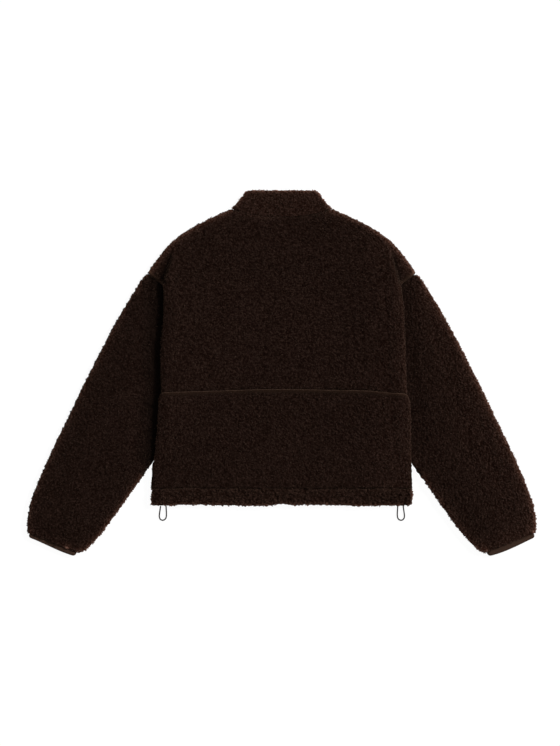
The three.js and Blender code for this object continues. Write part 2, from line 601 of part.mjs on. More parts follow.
// A loop of the draw cord that hangs out of the hem and lies on the surface. Its route is
// measured from the loop's middle and the hem's bottom edge; z is its height.
const loopRoute = [
  { x: -4.4, y: -2.6, z: 5.4 }, { x: -4.6, y: -4.8, z: 4.2 }, { x: -5, y: -7.4, z: 2.9 },
  { x: -5.5, y: -10.8, z: 1.9 }, { x: -6.1, y: -14.8, z: 1.5 }, { x: -6.6, y: -18.8, z: 1.35 },
  { x: -6.8, y: -22.6, z: 1.35 }, { x: -6, y: -26.2, z: 1.35 }, { x: -3.8, y: -29, z: 1.35 },
  { x: -0.4, y: -30.2, z: 1.35 }, { x: 3.2, y: -29.2, z: 1.35 }, { x: 5.8, y: -26.4, z: 1.35 },
  { x: 6.9, y: -22.4, z: 1.35 }, { x: 7.1, y: -18.2, z: 1.35 }, { x: 7, y: -14, z: 1.5 },
  { x: 6.8, y: -10, z: 2.2 }, { x: 6.6, y: -6.6, z: 3.2 }, { x: 6.5, y: -4.2, z: 4.3 },
  { x: 6.5, y: -2.4, z: 5.4 },
];
function drawcordLoop(middle, sign) {
  const path = new THREE.CatmullRomCurve3(
    loopRoute.map(({ x, y, z }) => new THREE.Vector3(middle + sign * x, hemBottomY + y, z)), false, "catmullrom", 0.5,
  );
  const steps = 26;
  const sides = 8;
  const points = [];
  for (let i = 0; i <= steps; i += 1) {
    const at = path.getPointAt(i / steps);
    const forward = path.getTangentAt(i / steps);
    const side = new THREE.Vector3(0, 0, 1).cross(forward).normalize();
    const up = new THREE.Vector3().crossVectors(forward, side);
    for (let k = 0; k < sides; k += 1) {
      const angle = (k / sides) * Math.PI * 2;
      points.push(at.clone().addScaledVector(side, Math.cos(angle) * cordRadius)
        .addScaledVector(up, Math.sin(angle) * cordRadius).toArray());
    }
  }
  const index = [];
  for (let i = 0; i < steps; i += 1) {
    for (let k = 0; k < sides; k += 1) {
      const a = i * sides + k;
      const b = i * sides + ((k + 1) % sides);
      index.push(a, b, b + sides, a, b + sides, a + sides);
    }
  }
  const end = steps * sides;
  for (let k = 1; k < sides - 1; k += 1) index.push(0, k + 1, k, end, end + k, end + k + 1);
  const geometry = new THREE.BufferGeometry();
  geometry.setAttribute("position", new THREE.Float32BufferAttribute(points.flat(), 3));
  geometry.setIndex(index);
  geometry.computeVertexNormals();
  return geometry;
}

const sherpa = new THREE.MeshStandardMaterial({ color: 0x2e2018, roughness: 0.95 });
const bindingCloth = new THREE.MeshStandardMaterial({ color: 0x3a291f, roughness: 0.8 });
const cordYarn = new THREE.MeshStandardMaterial({ color: 0x17120f, roughness: 0.7 });

const group = new THREE.Group();
const pieces = [
  ["front_panel", frontPanel(), sherpa],
  ["back_upper", upperBack(), sherpa],
  ["back_lower", lowerBack(), sherpa],
  ["collar", collar(), sherpa],
  ["hem_channel", hemChannel(), sherpa],
  ["sleeve_left", sleeve(-1), sherpa],
  ["sleeve_right", sleeve(1), sherpa],
  ["cuff_binding_left", cuffBinding(-1), bindingCloth],
  ["cuff_binding_right", cuffBinding(1), bindingCloth],
  ["drawcord_loop_left", drawcordLoop(-232.3, 1), cordYarn],
  ["drawcord_loop_right", drawcordLoop(233, -1), cordYarn],
];
for (const [name, geometry, material] of pieces) {
  const mesh = new THREE.Mesh(geometry, material);
  mesh.name = name;
  group.add(mesh);
}

export default group;
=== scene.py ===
import math

import bpy
import numpy as np
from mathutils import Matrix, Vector
from mathutils.bvhtree import BVHTree
from mathutils.kdtree import KDTree


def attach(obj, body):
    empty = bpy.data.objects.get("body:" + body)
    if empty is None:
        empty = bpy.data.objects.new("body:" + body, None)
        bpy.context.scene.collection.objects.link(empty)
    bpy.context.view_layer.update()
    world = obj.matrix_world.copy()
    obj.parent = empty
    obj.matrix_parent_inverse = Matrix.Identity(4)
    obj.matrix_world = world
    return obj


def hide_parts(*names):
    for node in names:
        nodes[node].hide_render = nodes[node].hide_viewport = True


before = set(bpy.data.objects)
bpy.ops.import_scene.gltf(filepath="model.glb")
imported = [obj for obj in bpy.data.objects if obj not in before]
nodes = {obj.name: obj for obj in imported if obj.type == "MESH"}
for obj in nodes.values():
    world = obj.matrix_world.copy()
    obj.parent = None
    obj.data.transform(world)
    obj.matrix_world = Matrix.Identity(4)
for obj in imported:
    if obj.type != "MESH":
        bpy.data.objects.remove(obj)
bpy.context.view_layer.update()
mm = 0.001
print("frame loaded:", len(nodes), "nodes")


# Small helpers
def addNode(tree, kind, **settings):
    node = tree.nodes.new(kind)
    for name, value in settings.items():
        setattr(node, name, value)
    return node


def feed(tree, source, target, socket):
    # source is a socket to link from, or a plain value to set
    if isinstance(source, bpy.types.NodeSocket):
        tree.links.new(source, target.inputs[socket])
    else:
        target.inputs[socket].default_value = source


def maths(tree, operation, a, b=0.0):
    node = addNode(tree, "ShaderNodeMath", operation=operation)
    feed(tree, a, node, 0)
    feed(tree, b, node, 1)
    return node.outputs[0]


def vectorMaths(tree, operation, a, b=(0.0, 0.0, 0.0), scale=None):
    node = addNode(tree, "ShaderNodeVectorMath", operation=operation)
    feed(tree, a, node, 0)
    feed(tree, b, node, 1)
    if scale is not None:
        feed(tree, scale, node, 3)
    return node.outputs[0]


def remap(tree, value, fromLow, fromHigh, toLow=0.0, toHigh=1.0, smooth=False):
    node = addNode(tree, "ShaderNodeMapRange", interpolation_type="SMOOTHSTEP" if smooth else "LINEAR")
    for i, number in enumerate((value, fromLow, fromHigh, toLow, toHigh)):
        feed(tree, number, node, i)
    return node.outputs[0]


def linkObject(name, mesh):
    piece = bpy.data.objects.new(name, mesh)
    bpy.context.scene.collection.objects.link(piece)
    return piece


def triangleCount(piece):
    return sum(len(face.vertices) - 2 for face in piece.data.polygons)


def newMaterial(name):
    material = bpy.data.materials.new(name)
    material.use_nodes = True
    tree = material.node_tree
    return material, tree, tree.nodes["Principled BSDF"]


# Camera: straight above the garment, as in the photograph
cameraView = {
    "frameWide": 560, "frameHigh": 746,      # the photograph's frame in pixels
    "garmentMiddle": (281.7, 373.0),         # where the garment's own middle lies in it
    "size": 1.95 * mm,                       # one of its pixels on the garment
    "lens": 135.0,
    "level": 12 * mm,                        # the height in the cloth that this size holds at
}


def makeCamera(v):
    data = bpy.data.cameras.new("camera")
    data.lens = v["lens"]
    data.sensor_width = 36.0
    high = v["frameHigh"] * v["size"]
    away = high / 2 / (data.sensor_width / 2 / v["lens"])
    camera = bpy.data.objects.new("camera", data)
    bpy.context.scene.collection.objects.link(camera)
    camera.location = (
        (v["frameWide"] / 2 - v["garmentMiddle"][0]) * v["size"],
        (v["garmentMiddle"][1] - v["frameHigh"] / 2) * v["size"],
        v["level"] + away,
    )
    data.clip_end = 60.0
    bpy.context.scene.camera = camera


makeCamera(cameraView)

# Floor and light: a white table, a broad lamp from the upper right and light all round
lighting = {
    "table": 8.0, "tableGlow": 0.95, "room": 0.34, "lamp": 3.0, "lampSoftness": 9.0,
    "lampFrom": (0.74, 0.40, 0.50),
    "tableTop": -0.6 * mm,      # just under the pile
}


def makeStage(light):
    corners = [(-1, -1), (1, -1), (1, 1), (-1, 1)]
    mesh = bpy.data.meshes.new("white_table")
    mesh.from_pydata([(x * light["table"], y * light["table"], light["tableTop"]) for x, y in corners], [],
                     [(0, 1, 2, 3)])
    table = linkObject("white_table", mesh)
    material, tree, surface = newMaterial("white_table")
    surface.inputs["Base Color"].default_value = (0.08, 0.08, 0.08, 1.0)
    surface.inputs["Roughness"].default_value = 1.0
    surface.inputs["Emission Color"].default_value = (1.0, 1.0, 1.0, 1.0)
    surface.inputs["Emission Strength"].default_value = light["tableGlow"]
    mesh.materials.append(material)
    world = bpy.context.scene.world or bpy.data.worlds.new("room")
    bpy.context.scene.world = world
    world.use_nodes = True
    world.node_tree.nodes["Background"].inputs[0].default_value = (1.0, 1.0, 1.0, 1.0)
    world.node_tree.nodes["Background"].inputs[1].default_value = light["room"]
    lamp = bpy.data.lights.new("lamp", "SUN")
    lamp.energy = light["lamp"]
    lamp.angle = math.radians(light["lampSoftness"])
    holder = bpy.data.objects.new("lamp", lamp)
    bpy.context.scene.collection.objects.link(holder)
    holder.rotation_mode = "QUATERNION"
    holder.rotation_quaternion = Vector(light["lampFrom"]).to_track_quat("Z", "Y")
    bpy.context.scene.view_settings.view_transform = "Standard"


makeStage(lighting)
print("stage set")

# Draw cord: two loops of thin braided elastic out of the hem
drawcord = {
    "radius": 1.3 * mm,
    "sides": 12,
    "steps": 5,          # rings between one point of the route and the next
    "length": 0.065,
    "hemBottom": -257.5,  # the route's points are measured from here and the loop's middle, in mm
    "loops": {"drawcord_loop_left": (-232.3, 1), "drawcord_loop_right": (233.0, -1)},
    "route": [
        (-4.4, -2.6, 5.4), (-4.6, -4.8, 4.2), (-5, -7.4, 2.9), (-5.5, -10.8, 1.9), (-6.1, -14.8, 1.5),
        (-6.6, -18.8, 1.35), (-6.8, -22.6, 1.35), (-6, -26.2, 1.35), (-3.8, -29, 1.35),
        (-0.4, -30.2, 1.35), (3.2, -29.2, 1.35), (5.8, -26.4, 1.35), (6.9, -22.4, 1.35),
        (7.1, -18.2, 1.35), (7, -14, 1.5), (6.8, -10, 2.2), (6.6, -6.6, 3.2), (6.5, -4.2, 4.3),
        (6.5, -2.4, 5.4),
    ],
}


def smoothRoute(points, steps):
    points = np.array(points)
    ends = np.vstack([2 * points[0] - points[1], points, 2 * points[-1] - points[-2]])
    line = []
    for i in range(1, len(ends) - 2):
        a, b, c, d = ends[i - 1:i + 3]
        for t in np.arange(steps) / steps:
            line.append(0.5 * (2 * b + (c - a) * t + (2 * a - 5 * b + 4 * c - d) * t * t
                               + (3 * b - a - 3 * c + d) * t ** 3))
    line.append(points[-1])
    return np.array(line)


def cordTube(name, line, radius, sides):
    forward = np.gradient(line, axis=0)
    forward /= np.linalg.norm(forward, axis=1)[:, None]
    side = np.cross([0.0, 0.0, 1.0], forward)
    side /= np.linalg.norm(side, axis=1)[:, None]
    up = np.cross(forward, side)
    turn = np.arange(sides) / sides * 2 * math.pi
    around = np.cos(turn)[None, :, None] * side[:, None] + np.sin(turn)[None, :, None] * up[:, None]
    rings = line[:, None] + radius * around
    count = len(line)
    faces = [
        (i * sides + k, i * sides + (k + 1) % sides, (i + 1) * sides + (k + 1) % sides, (i + 1) * sides + k)
        for i in range(count - 1) for k in range(sides)
    ]
    faces.append(tuple(reversed(range(sides))))
    faces.append(tuple((count - 1) * sides + k for k in range(sides)))
    mesh = bpy.data.meshes.new(name)
    mesh.from_pydata(rings.reshape(-1, 3).tolist(), [], faces)
    along = np.concatenate([[0.0], np.cumsum(np.linalg.norm(np.diff(line, axis=0), axis=1))])
    layer = mesh.uv_layers.new(name="braid")
    for face in mesh.polygons:
        for loop in face.loop_indices:
            ring, k = divmod(mesh.loops[loop].vertex_index, sides)
            wrap = 1.0 if k == 0 and face.index % sides == sides - 1 else k / sides
            layer.data[loop].uv = (wrap, along[ring] / (2 * math.pi * radius))
    mesh.shade_smooth()
    return linkObject(name, mesh)


cordPieces = {}
for node, (middle, sign) in drawcord["loops"].items():
    bottom = drawcord["hemBottom"]
    route = [((middle + sign * x) * mm, (bottom + y) * mm, z * mm) for x, y, z in drawcord["route"]]
    line = smoothRoute(route, drawcord["steps"])
    piece = cordTube(node.replace("drawcord", "elastic"), line, drawcord["radius"], drawcord["sides"])
    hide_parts(node)
    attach(piece, "root")
    cordPieces[node] = piece
    print("cord:", node, "%.4f m long" % np.linalg.norm(np.diff(line, axis=0), axis=1).sum())


# Cloth pieces. Each starts as its solid's own surface, cut finer where it shows.
clothGrain = {
    "shown": 2.0 * mm,      # edge length where the cloth faces up
    "under": 4.2 * mm,      # where it can be seen from below
    "hidden": 9.0 * mm,     # inside, or against a neighbour
    "sight": 14 * mm,       # cloth nearer than this to what it faces is hidden
    "seam": 1.1 * mm,       # edges nearer than this to each other are sewn together
    "seamShade": 0.6,       # how much painted shade darkens the pile down in a seam
    "double": 0.005 * mm,   # corners nearer than this are one
    "lap": 0.08 * mm,       # how far each side of a seam goes past the middle of its gap
    "roundness": 0.62,      # how far a new corner goes towards the round surface
    "outward": 45 * mm,     # an edge that looks out further than this stands clear of its neighbours
    "covered": 0.05,        # what is left of an edge's light where it doesn't
}


def solidTree():
    points, faces = [], []
    for node in nodes.values():
        start = len(points)
        points += [v.co.copy() for v in node.data.vertices]
        faces += [tuple(start + i for i in p.vertices) for p in node.data.polygons]
    return BVHTree.FromPolygons(points, faces)


allSolids = solidTree()


def mergedSolid(name):
    # the node's corners and triangles, with doubles merged
    mesh = nodes[name].data
    corners = np.zeros(len(mesh.vertices) * 3)
    mesh.vertices.foreach_get("co", corners)
    corners = corners.reshape(-1, 3)
    mesh.calc_loop_triangles()
    faces = np.zeros(len(mesh.loop_triangles) * 3, int)
    mesh.loop_triangles.foreach_get("vertices", faces)
    _, first, where = np.unique(np.round(corners / clothGrain["double"]).astype(np.int64), axis=0,
                                return_index=True, return_inverse=True)
    faces = where.reshape(-1)[faces].reshape(-1, 3)
    keep = (faces[:, 0] != faces[:, 1]) & (faces[:, 1] != faces[:, 2]) & (faces[:, 0] != faces[:, 2])
    return corners[first], faces[keep]


def cornerNormals(points, faces):
    a, b, c = points[faces[:, 0]], points[faces[:, 1]], points[faces[:, 2]]
    flat = np.cross(b - a, c - a)
    flat /= np.maximum(np.linalg.norm(flat, axis=1), 1e-15)[:, None]
    normals = np.zeros_like(points)
    for i, (p, q, r) in enumerate(((a, b, c), (b, c, a), (c, a, b))):
        u, v = q - p, r - p
        cosine = (u * v).sum(1) / np.maximum(np.linalg.norm(u, axis=1) * np.linalg.norm(v, axis=1), 1e-15)
        np.add.at(normals, faces[:, i], flat * np.arccos(np.clip(cosine, -1, 1))[:, None])
    return normals / np.maximum(np.linalg.norm(normals, axis=1), 1e-12)[:, None]


def reach(points, ways, limit):
    # how far each point can see along its way, up to a limit
    found = np.full(len(points), float(limit))
    for i, (point, way) in enumerate(zip(points, ways)):
        _, _, _, distance = allSolids.ray_cast(Vector(point + way * 0.05 * mm), Vector(way), limit)
        if distance is not None:
            found[i] = distance
    return found


def openness(points, normals):
    # 1 where nothing lies in front of the cloth, 0 where it touches its neighbour. Cloth that
    # rolls over into a seam looks up, or down, rather than at the seam.
    tilt = np.where(abs(normals[:, 2]) > 0.12, np.sign(normals[:, 2]), 0.0)
    ways = normals + np.outer(tilt, [0.0, 0.0, 0.9])
    ways /= np.linalg.norm(ways, axis=1)[:, None]
    return (reach(points, ways, clothGrain["sight"]) / clothGrain["sight"]) ** 2


def closeSeams(points, normals):
    # sewn edges meet: half the gap to the neighbour is taken up by each side
    gap = reach(points, normals, clothGrain["seam"])
    push = np.where(gap < clothGrain["seam"], gap / 2 + clothGrain["lap"], 0.0)
    push[(normals[:, 2] < -0.6) & (points[:, 2] < 0.5 * mm)] = 0.0
    return points + normals * push[:, None]


def splitEdges(points, normals, marks, faces):
    # one pass: cuts every edge longer than its cloth's grain, keeping the surface round
    corners = np.sort(faces[:, [[0, 1], [1, 2], [2, 0]]].reshape(-1, 2), axis=1)
    edges, which = np.unique(corners, axis=0, return_inverse=True)
    which = which.reshape(-1, 3)
    a, b = edges[:, 0], edges[:, 1]
    span = points[b] - points[a]
    longest = np.minimum(marks[a, 1], marks[b, 1]) * 0.35 + np.maximum(marks[a, 1], marks[b, 1]) * 0.65
    cut = np.linalg.norm(span, axis=1) > longest * 1.3
    if not cut.any():
        return points, normals, marks, faces, False
    number = np.full(len(edges), -1)
    number[cut] = len(points) + np.arange(cut.sum())
    a, b = a[cut], b[cut]
    middle = (points[a] + points[b]) / 2
    alike = np.clip((normals[a] * normals[b]).sum(1), 0, 1)[:, None]

    def dropped(k):
        # the middle, dropped on to the plane through corner k
        return middle - ((middle - points[k]) * normals[k]).sum(1)[:, None] * normals[k]

    middle = middle + ((dropped(a) + dropped(b)) / 2 - middle) * clothGrain["roundness"] * alike
    between = normals[a] + normals[b]
    between /= np.maximum(np.linalg.norm(between, axis=1), 1e-12)[:, None]
    points = np.vstack([points, middle])
    normals = np.vstack([normals, between])
    marks = np.vstack([marks, (marks[a] + marks[b]) / 2])
    new = number[which]
    count = (new >= 0).sum(1)
    made = [faces[count == 0]]
    for turn in range(3):
        order = [(turn + k) % 3 for k in range(3)]
        f, n = faces[:, order], new[:, order]
        one = (count == 1) & (n[:, 0] >= 0)
        made.append(np.stack([f[one, 0], n[one, 0], f[one, 2]], 1))
        made.append(np.stack([n[one, 0], f[one, 1], f[one, 2]], 1))
        two = (count == 2) & (n[:, 2] < 0)
        made.append(np.stack([n[two, 0], f[two, 1], n[two, 1]], 1))
        left = points[f[two, 0]] - points[n[two, 1]]
        right = points[n[two, 0]] - points[f[two, 2]]
        short = np.linalg.norm(left, axis=1) < np.linalg.norm(right, axis=1)
        p, q, r, s = f[two, 0], n[two, 0], n[two, 1], f[two, 2]
        made += [np.stack([p, q, r], 1)[short], np.stack([p, r, s], 1)[short]]
        made += [np.stack([p, q, s], 1)[~short], np.stack([q, r, s], 1)[~short]]
    all3 = count == 3
    f, n = faces[all3], new[all3]
    made += [np.stack([f[:, 0], n[:, 0], n[:, 2]], 1), np.stack([n[:, 0], f[:, 1], n[:, 1]], 1),
             np.stack([n[:, 2], n[:, 1], f[:, 2]], 1), n]
    return points, normals, marks, np.vstack(made), True


def rolledBand(points, name, rolled):
    # 1 along a lapped seam, where the cloth is rolled smooth, fading to 0 beside it
    if "line" in rolled:
        away = np.full(len(points), 1.0)
        spots = np.stack([abs(points[:, 0]), points[:, 1]], 1)
        line = np.array(rolled["line"]) * mm
        for a, b in zip(line[:-1], line[1:]):
            t = np.clip(((spots - a) @ (b - a)) / ((b - a) @ (b - a)), 0, 1)
            away = np.minimum(away, np.linalg.norm(spots - a - t[:, None] * (b - a), axis=1))
    else:
        alongX, alongY = seamAbove(name)
        away = np.interp(points[:, 0], alongX, alongY) - points[:, 1]
    return np.clip((rolled["deep"] + rolled["fade"] - away) / rolled["fade"], 0, 1) * rolled["strength"]


def seamAbove(name):
    # the curve of a piece's top seam, as places along X and Y
    points, _ = mergedSolid(name)
    near = points[points[:, 1] > points[:, 1].max() - 14 * mm]
    edge = []
    for point in near:
        beside = abs(near[:, 0] - point[0]) < 4 * mm
        if not np.any(beside & (near[:, 1] > point[1] + 0.2 * mm)):
            edge.append(point)
    edge = np.array(sorted(edge, key=lambda point: point[0]))
    return edge[:, 0], edge[:, 1]


lampSide = np.array([lighting["lampFrom"][0], lighting["lampFrom"][1], 0.0])
lampSide /= np.linalg.norm(lampSide)


def outerRim(points, normals):
    # the corners where a piece turns over from its upper to its under side, and the way each looks out
    rim = np.flatnonzero(abs(normals[:, 2]) < 0.3)
    ways = normals[rim] * [1.0, 1.0, 0.0]
    return rim, ways / np.linalg.norm(ways, axis=1)[:, None]


def paintedEdgeGlow(points, normals, nap, light, deep, trim):
    # Painted light: the pile spreads open over an edge and light comes through it, so a glow is painted in
    # from the edge, less so further in. Gives the way out over the nearest edge, as long as the glow there
    # is strong. An edge may belong to a piece's trim.
    rim, ways = outerRim(points, normals)
    bare = nap[rim] > 0.6
    rim, ways = points[rim[bare]], ways[bare]
    if trim:
        trimPoints, faces = mergedSolid(trim)
        trimRim, trimWays = outerRim(trimPoints, cornerNormals(trimPoints, faces))
        rim, ways = np.vstack([rim, trimPoints[trimRim]]), np.vstack([ways, trimWays])
    if not len(rim):
        return np.zeros_like(points)
    looks = ways - [0.0, 0.0, 0.25]
    looks /= np.linalg.norm(looks, axis=1)[:, None]
    clear = reach(rim + looks * mm, looks, clothGrain["outward"]) >= clothGrain["outward"]
    strength = np.where(clear, 1.0, clothGrain["covered"] * (1 + ways @ lampSide))
    edge = KDTree(len(rim))
    for i, corner in enumerate(rim):
        edge.insert(corner, i)
    edge.balance()
    found = [edge.find(point)[1:] for point in points]
    nearest = np.array([i for i, _ in found])
    away = np.array([distance for _, distance in found])
    return ways[nearest] * (light * strength[nearest] * np.exp(-away / deep))[:, None]


def nookShade(points, nook):
    # painted shade and shadow: the pile is darker where the body's fold stands close beside a sleeve
    inward = np.outer(-np.sign(points[:, 0]), [1.0, 0.0, 0.0])
    gap = reach(points + [0.0, 0.0, nook["eye"]], inward, nook["wide"]) / nook["wide"]
    return nook["dark"] + (1 - nook["dark"]) * gap ** nook["ease"]


def towardsLamp(points, turns):
    # lighter where the cloth turns towards the lamp
    lighter = np.ones(len(points))
    for place, way, span, share in turns:
        t = np.clip(((points[:, :2] / mm - place) @ np.array(way)) / span, 0, 1)
        lighter += share * t * t * (3 - 2 * t)
    return lighter


def fineCloth(name, title, cut):
    # a node's surface cut finer, with the values that its pile and colour go by
    points, faces = mergedSolid(name)
    normals = cornerNormals(points, faces)
    shown = openness(points, normals)
    sewn = (reach(points, normals, clothGrain["seam"]) < clothGrain["seam"]) * 1.0
    down = np.clip(-normals[:, 2] * 1.6, 0, 1)
    top = clothGrain["shown"] * cut.get("fine", 1.0)
    grain = top + (clothGrain["under"] - top) * down
    grain = grain + (clothGrain["hidden"] - grain) * (1 - shown) ** 0.7
    marks = np.stack([shown, grain, down, sewn], 1)
    going = True
    while going:
        points, normals, marks, faces, going = splitEdges(points, normals, marks, faces)
    points = closeSeams(points, cornerNormals(points, faces))
    mesh = bpy.data.meshes.new(title)
    mesh.vertices.add(len(points))
    mesh.vertices.foreach_set("co", points.ravel())
    mesh.loops.add(len(faces) * 3)
    mesh.loops.foreach_set("vertex_index", faces.ravel().astype(np.int32))
    mesh.polygons.add(len(faces))
    mesh.polygons.foreach_set("loop_start", np.arange(len(faces), dtype=np.int32) * 3)
    mesh.update(calc_edges=True)
    nap = np.clip(marks[:, 0] * 1.25 - 0.15, 0, 1)
    band = rolledBand(points, name, cut["rolled"]) if "rolled" in cut else np.zeros(len(points))
    # the tone holds painted shade in seams and beside folds, and painted light where the cloth turns towards
    # the lamp, over a lightness set for each piece
    tones = cut.get("tone", 1.0) * (1 - clothGrain["seamShade"] * marks[:, 3] ** 1.5)
    tones = tones * towardsLamp(points, cut.get("turns", ()))
    # painted shade and shadow beside the body's fold
    if "nook" in cut:
        tones *= nookShade(points, cut["nook"])
    for label, values in (("nap", nap), ("down", marks[:, 2]), ("rolled", band), ("tone", tones)):
        mesh.attributes.new(label, "FLOAT", "POINT").data.foreach_set("value", values.astype(np.float32))
    # painted light: a glow painted in along each open edge, kept with the way out over that edge
    light, deep = cut.get("edge", (0.0, 1.0))
    edgeGlowWay = paintedEdgeGlow(points, normals, nap, light, deep * mm, cut.get("trim"))
    rims = mesh.attributes.new("edgeGlowWay", "FLOAT_VECTOR", "POINT")
    rims.data.foreach_set("vector", edgeGlowWay.ravel().astype(np.float32))
    return linkObject(title, mesh)


# Sherpa pile by Geometry Nodes
def newTree(name, sizes):
    # a tree that takes a mesh, the sizes by name and a material
    tree = bpy.data.node_groups.new(name, "GeometryNodeTree")
    face = tree.interface
    face.new_socket("Geometry", in_out="OUTPUT", socket_type="NodeSocketGeometry")
    face.new_socket("Geometry", in_out="INPUT", socket_type="NodeSocketGeometry")
    for label, value in sizes.items():
        kind = "NodeSocketInt" if isinstance(value, int) else "NodeSocketFloat"
        face.new_socket(label, in_out="INPUT", socket_type=kind).default_value = value
    face.new_socket("Cloth", in_out="INPUT", socket_type="NodeSocketMaterial")
    return tree, addNode(tree, "NodeGroupInput").outputs, addNode(tree, "NodeGroupOutput")


def stored(tree, name):
    node = addNode(tree, "GeometryNodeInputNamedAttribute", data_type="FLOAT")
    node.inputs["Name"].default_value = name
    return node.outputs["Attribute"]


def storeValue(tree, geometry, name, value, domain):
    node = addNode(tree, "GeometryNodeStoreNamedAttribute", data_type="FLOAT", domain=domain)
    feed(tree, geometry, node, "Geometry")
    node.inputs["Name"].default_value = name
    feed(tree, value, node, "Value")
    return node.outputs[0]


def onTable(tree, geometry):
    # no pile goes below the surface that the garment lies on
    spot = addNode(tree, "ShaderNodeSeparateXYZ")
    feed(tree, addNode(tree, "GeometryNodeInputPosition").outputs[0], spot, 0)
    rested = addNode(tree, "ShaderNodeCombineXYZ")
    feed(tree, spot.outputs[0], rested, 0)
    feed(tree, spot.outputs[1], rested, 1)
    feed(tree, maths(tree, "MAXIMUM", spot.outputs[2], 0.0), rested, 2)
    raised = addNode(tree, "GeometryNodeSetPosition")
    feed(tree, geometry, raised, "Geometry")
    feed(tree, rested.outputs[0], raised, "Position")
    return raised.outputs[0]


def smoothed(tree, geometry):
    smooth = addNode(tree, "GeometryNodeSetShadeSmooth")
    feed(tree, geometry, smooth, "Geometry")
    return smooth.outputs[0]


def realized(tree, geometry):
    whole = addNode(tree, "GeometryNodeRealizeInstances")
    feed(tree, geometry, whole, 0)
    return whole.outputs[0]


def dyed(tree, geometry, material):
    node = addNode(tree, "GeometryNodeSetMaterial")
    feed(tree, geometry, node, "Geometry")
    feed(tree, material, node, "Material")
    return node.outputs[0]


def pileTree():
    # warped nubs and worm-like curls, pushed out of the cloth
    tree, start, end = newTree("sherpaPile", {
        "Curl Size": 0.0052, "Pile Height": 0.003, "Clump Size": 0.03, "Crimp": 0.55, "Side Fullness": 1.5,
        "Seed": 0.0,
    })
    place = addNode(tree, "GeometryNodeInputPosition").outputs[0]
    shift = addNode(tree, "ShaderNodeCombineXYZ")
    for i, step in enumerate((3.7, 1.3, 2.1)):
        feed(tree, maths(tree, "MULTIPLY", start["Seed"], step), shift, i)
    cells = vectorMaths(tree, "SCALE", place, scale=maths(tree, "DIVIDE", 1.0, start["Curl Size"]))
    cells = vectorMaths(tree, "ADD", cells, shift.outputs[0])
    wander = addNode(tree, "ShaderNodeTexNoise", noise_dimensions="3D")
    feed(tree, cells, wander, "Vector")
    feed(tree, 0.62, wander, "Scale")
    feed(tree, 2.0, wander, "Detail")
    bent = vectorMaths(tree, "SUBTRACT", wander.outputs["Color"], (0.5, 0.5, 0.5))
    bent = vectorMaths(tree, "SCALE", bent, scale=maths(tree, "MULTIPLY", start["Crimp"], 4.0))
    curled = vectorMaths(tree, "ADD", cells, bent)
    nubs = addNode(tree, "ShaderNodeTexVoronoi", feature="SMOOTH_F1")
    feed(tree, curled, nubs, "Vector")
    feed(tree, 1.0, nubs, "Scale")
    feed(tree, 0.25, nubs, "Smoothness")
    nub = remap(tree, nubs.outputs["Distance"], 0.08, 0.72, 1.0, 0.0, smooth=True)
    worms = addNode(tree, "ShaderNodeTexNoise", noise_dimensions="3D")
    feed(tree, vectorMaths(tree, "ADD", curled, (7.3, 2.9, 5.1)), worms, "Vector")
    feed(tree, 0.85, worms, "Scale")
    feed(tree, 1.0, worms, "Detail")
    ridge = maths(tree, "ABSOLUTE", maths(tree, "SUBTRACT", worms.outputs["Fac"], 0.5))
    ridge = remap(tree, ridge, 0.0, 0.11, 1.0, 0.0, smooth=True)
    height = maths(tree, "ADD", maths(tree, "MULTIPLY", nub, 0.58), maths(tree, "MULTIPLY", ridge, 0.42))
    clumps = addNode(tree, "ShaderNodeTexNoise", noise_dimensions="3D")
    broad = vectorMaths(tree, "SCALE", place, scale=maths(tree, "DIVIDE", 1.0, start["Clump Size"]))
    feed(tree, broad, clumps, "Vector")
    feed(tree, 1.0, clumps, "Scale")
    feed(tree, 2.0, clumps, "Detail")
    clump = remap(tree, clumps.outputs["Fac"], 0.3, 0.7, -0.1, 0.1)

    # pressed flat where the cloth is hidden or rolled, sunk where it faces down
    unrolled = maths(tree, "SUBTRACT", 1.0, maths(tree, "MULTIPLY", stored(tree, "rolled"), 0.88))
    nap = maths(tree, "MULTIPLY", stored(tree, "nap"), unrolled)
    sunk = remap(tree, stored(tree, "down"), 0.0, 1.0, 0.55, 1.12)
    push = maths(tree, "SUBTRACT", maths(tree, "ADD", height, clump), sunk)
    push = maths(tree, "MULTIPLY", maths(tree, "MULTIPLY", push, start["Pile Height"]), nap)
    normal = addNode(tree, "GeometryNodeInputNormal").outputs[0]
    tilted = addNode(tree, "ShaderNodeSeparateXYZ")
    feed(tree, normal, tilted, 0)
    flatness = maths(tree, "ABSOLUTE", tilted.outputs[2])
    sideways = remap(tree, flatness, 0.0, 0.9, start["Side Fullness"], 1.0)
    fluffed = addNode(tree, "GeometryNodeSetPosition")
    feed(tree, start["Geometry"], fluffed, "Geometry")
    offset = vectorMaths(tree, "SCALE", normal, scale=maths(tree, "MULTIPLY", push, sideways))
    feed(tree, offset, fluffed, "Offset")

    # the height is kept for the painted shade between the curls, and is level where there is no pile
    level = maths(tree, "MULTIPLY", maths(tree, "SUBTRACT", 1.0, nap), 0.42)
    shown = maths(tree, "ADD", maths(tree, "MULTIPLY", height, nap), level)
    kept = storeValue(tree, onTable(tree, fluffed.outputs[0]), "pile", shown, "POINT")
    feed(tree, dyed(tree, realized(tree, smoothed(tree, kept)), start["Cloth"]), end, 0)
    return tree


